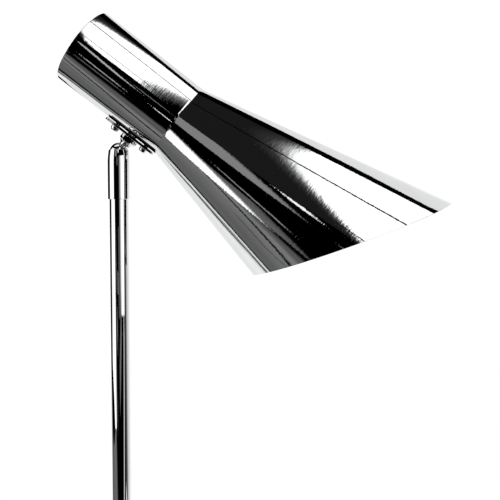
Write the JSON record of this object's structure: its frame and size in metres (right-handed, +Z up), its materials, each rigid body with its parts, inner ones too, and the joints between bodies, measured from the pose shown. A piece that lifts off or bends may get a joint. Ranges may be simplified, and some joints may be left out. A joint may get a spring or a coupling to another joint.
{
  "type": "standing lamp",
  "caption": "Chrome standing lamp: trumpet-shaped mirror shade with an oblique mouth on a ball swivel, slim round pole and round weighted base.",
  "frame": {"origin": "centre of the underside of the base, where the pole's axis meets the floor", "axes": "+Z up the pole, +X towards the mouth of the shade, +Y to the left of someone looking along +X"},
  "size_m": [0.3823, 0.26, 1.4024],
  "materials": {
    "chrome": "mirror polished chrome plate",
    "zinc": "zinc plated steel",
    "spring_steel": "bare spring steel",
    "brass": "turned brass",
    "bulb_cap_metal": "rolled nickel-finished cap",
    "iron": "cast iron, black lacquer",
    "felt": "black felt",
    "holder_plastic": "black thermoplastic",
    "grommet_rubber": "black rubber",
    "acetal": "white acetal",
    "lead_sleeve": "white insulating sleeve",
    "opal_glass": "opal white glass"
  },
  "bodies": {
    "root": {"base_cover": "chrome", "base_nut": "zinc", "base_pad": "felt", "base_rod": "zinc", "base_washer": "zinc", "base_weight": "iron", "cable_grommet": "grommet_rubber", "foot_bush": "brass", "lower_coupler": "brass", "lower_pole": "chrome", "middle_pole": "chrome", "pole_collar": "chrome", "pole_lead": "lead_sleeve", "pole_top_bush": "brass", "seat_spring": "spring_steel", "socket_sleeve": "chrome", "upper_coupler": "brass", "upper_pole": "chrome"},
    "seat": {"ball_seat": "acetal"},
    "stud": {"ball_stud": "chrome", "stud_collar": "chrome", "stud_nut": "zinc"},
    "head": {"shade": "chrome", "rear_cap": "chrome", "mounting_plate": "chrome", "plate_screw_front": "chrome", "plate_screw_rear": "chrome", "plate_nut_front": "zinc", "plate_nut_rear": "zinc", "holder_bracket": "zinc", "holder_rod": "zinc", "holder_nut": "zinc", "lampholder": "holder_plastic", "holder_contact": "brass", "bulb_cap": "bulb_cap_metal", "bulb_glass": "opal_glass", "head_lead": "lead_sleeve"}
  },
  "joints": [
    {"name": "swivel_pan", "type": "hinge", "parent": "root", "child": "seat", "pos_m": [0, 0, 1.3], "axis": [0, 0, 1], "range_deg": [-170, 170]},
    {"name": "swivel_tilt", "type": "hinge", "parent": "seat", "child": "stud", "pos_m": [0, 0, 1.3], "axis": [0, 1, 0], "range_deg": [-79, 3]},
    {"name": "shade_turn", "type": "hinge", "parent": "stud", "child": "head", "pos_m": [0, 0, 1.3], "axis": [0.6157, 0, 0.788], "range_deg": [-170, 170]}
  ]
}
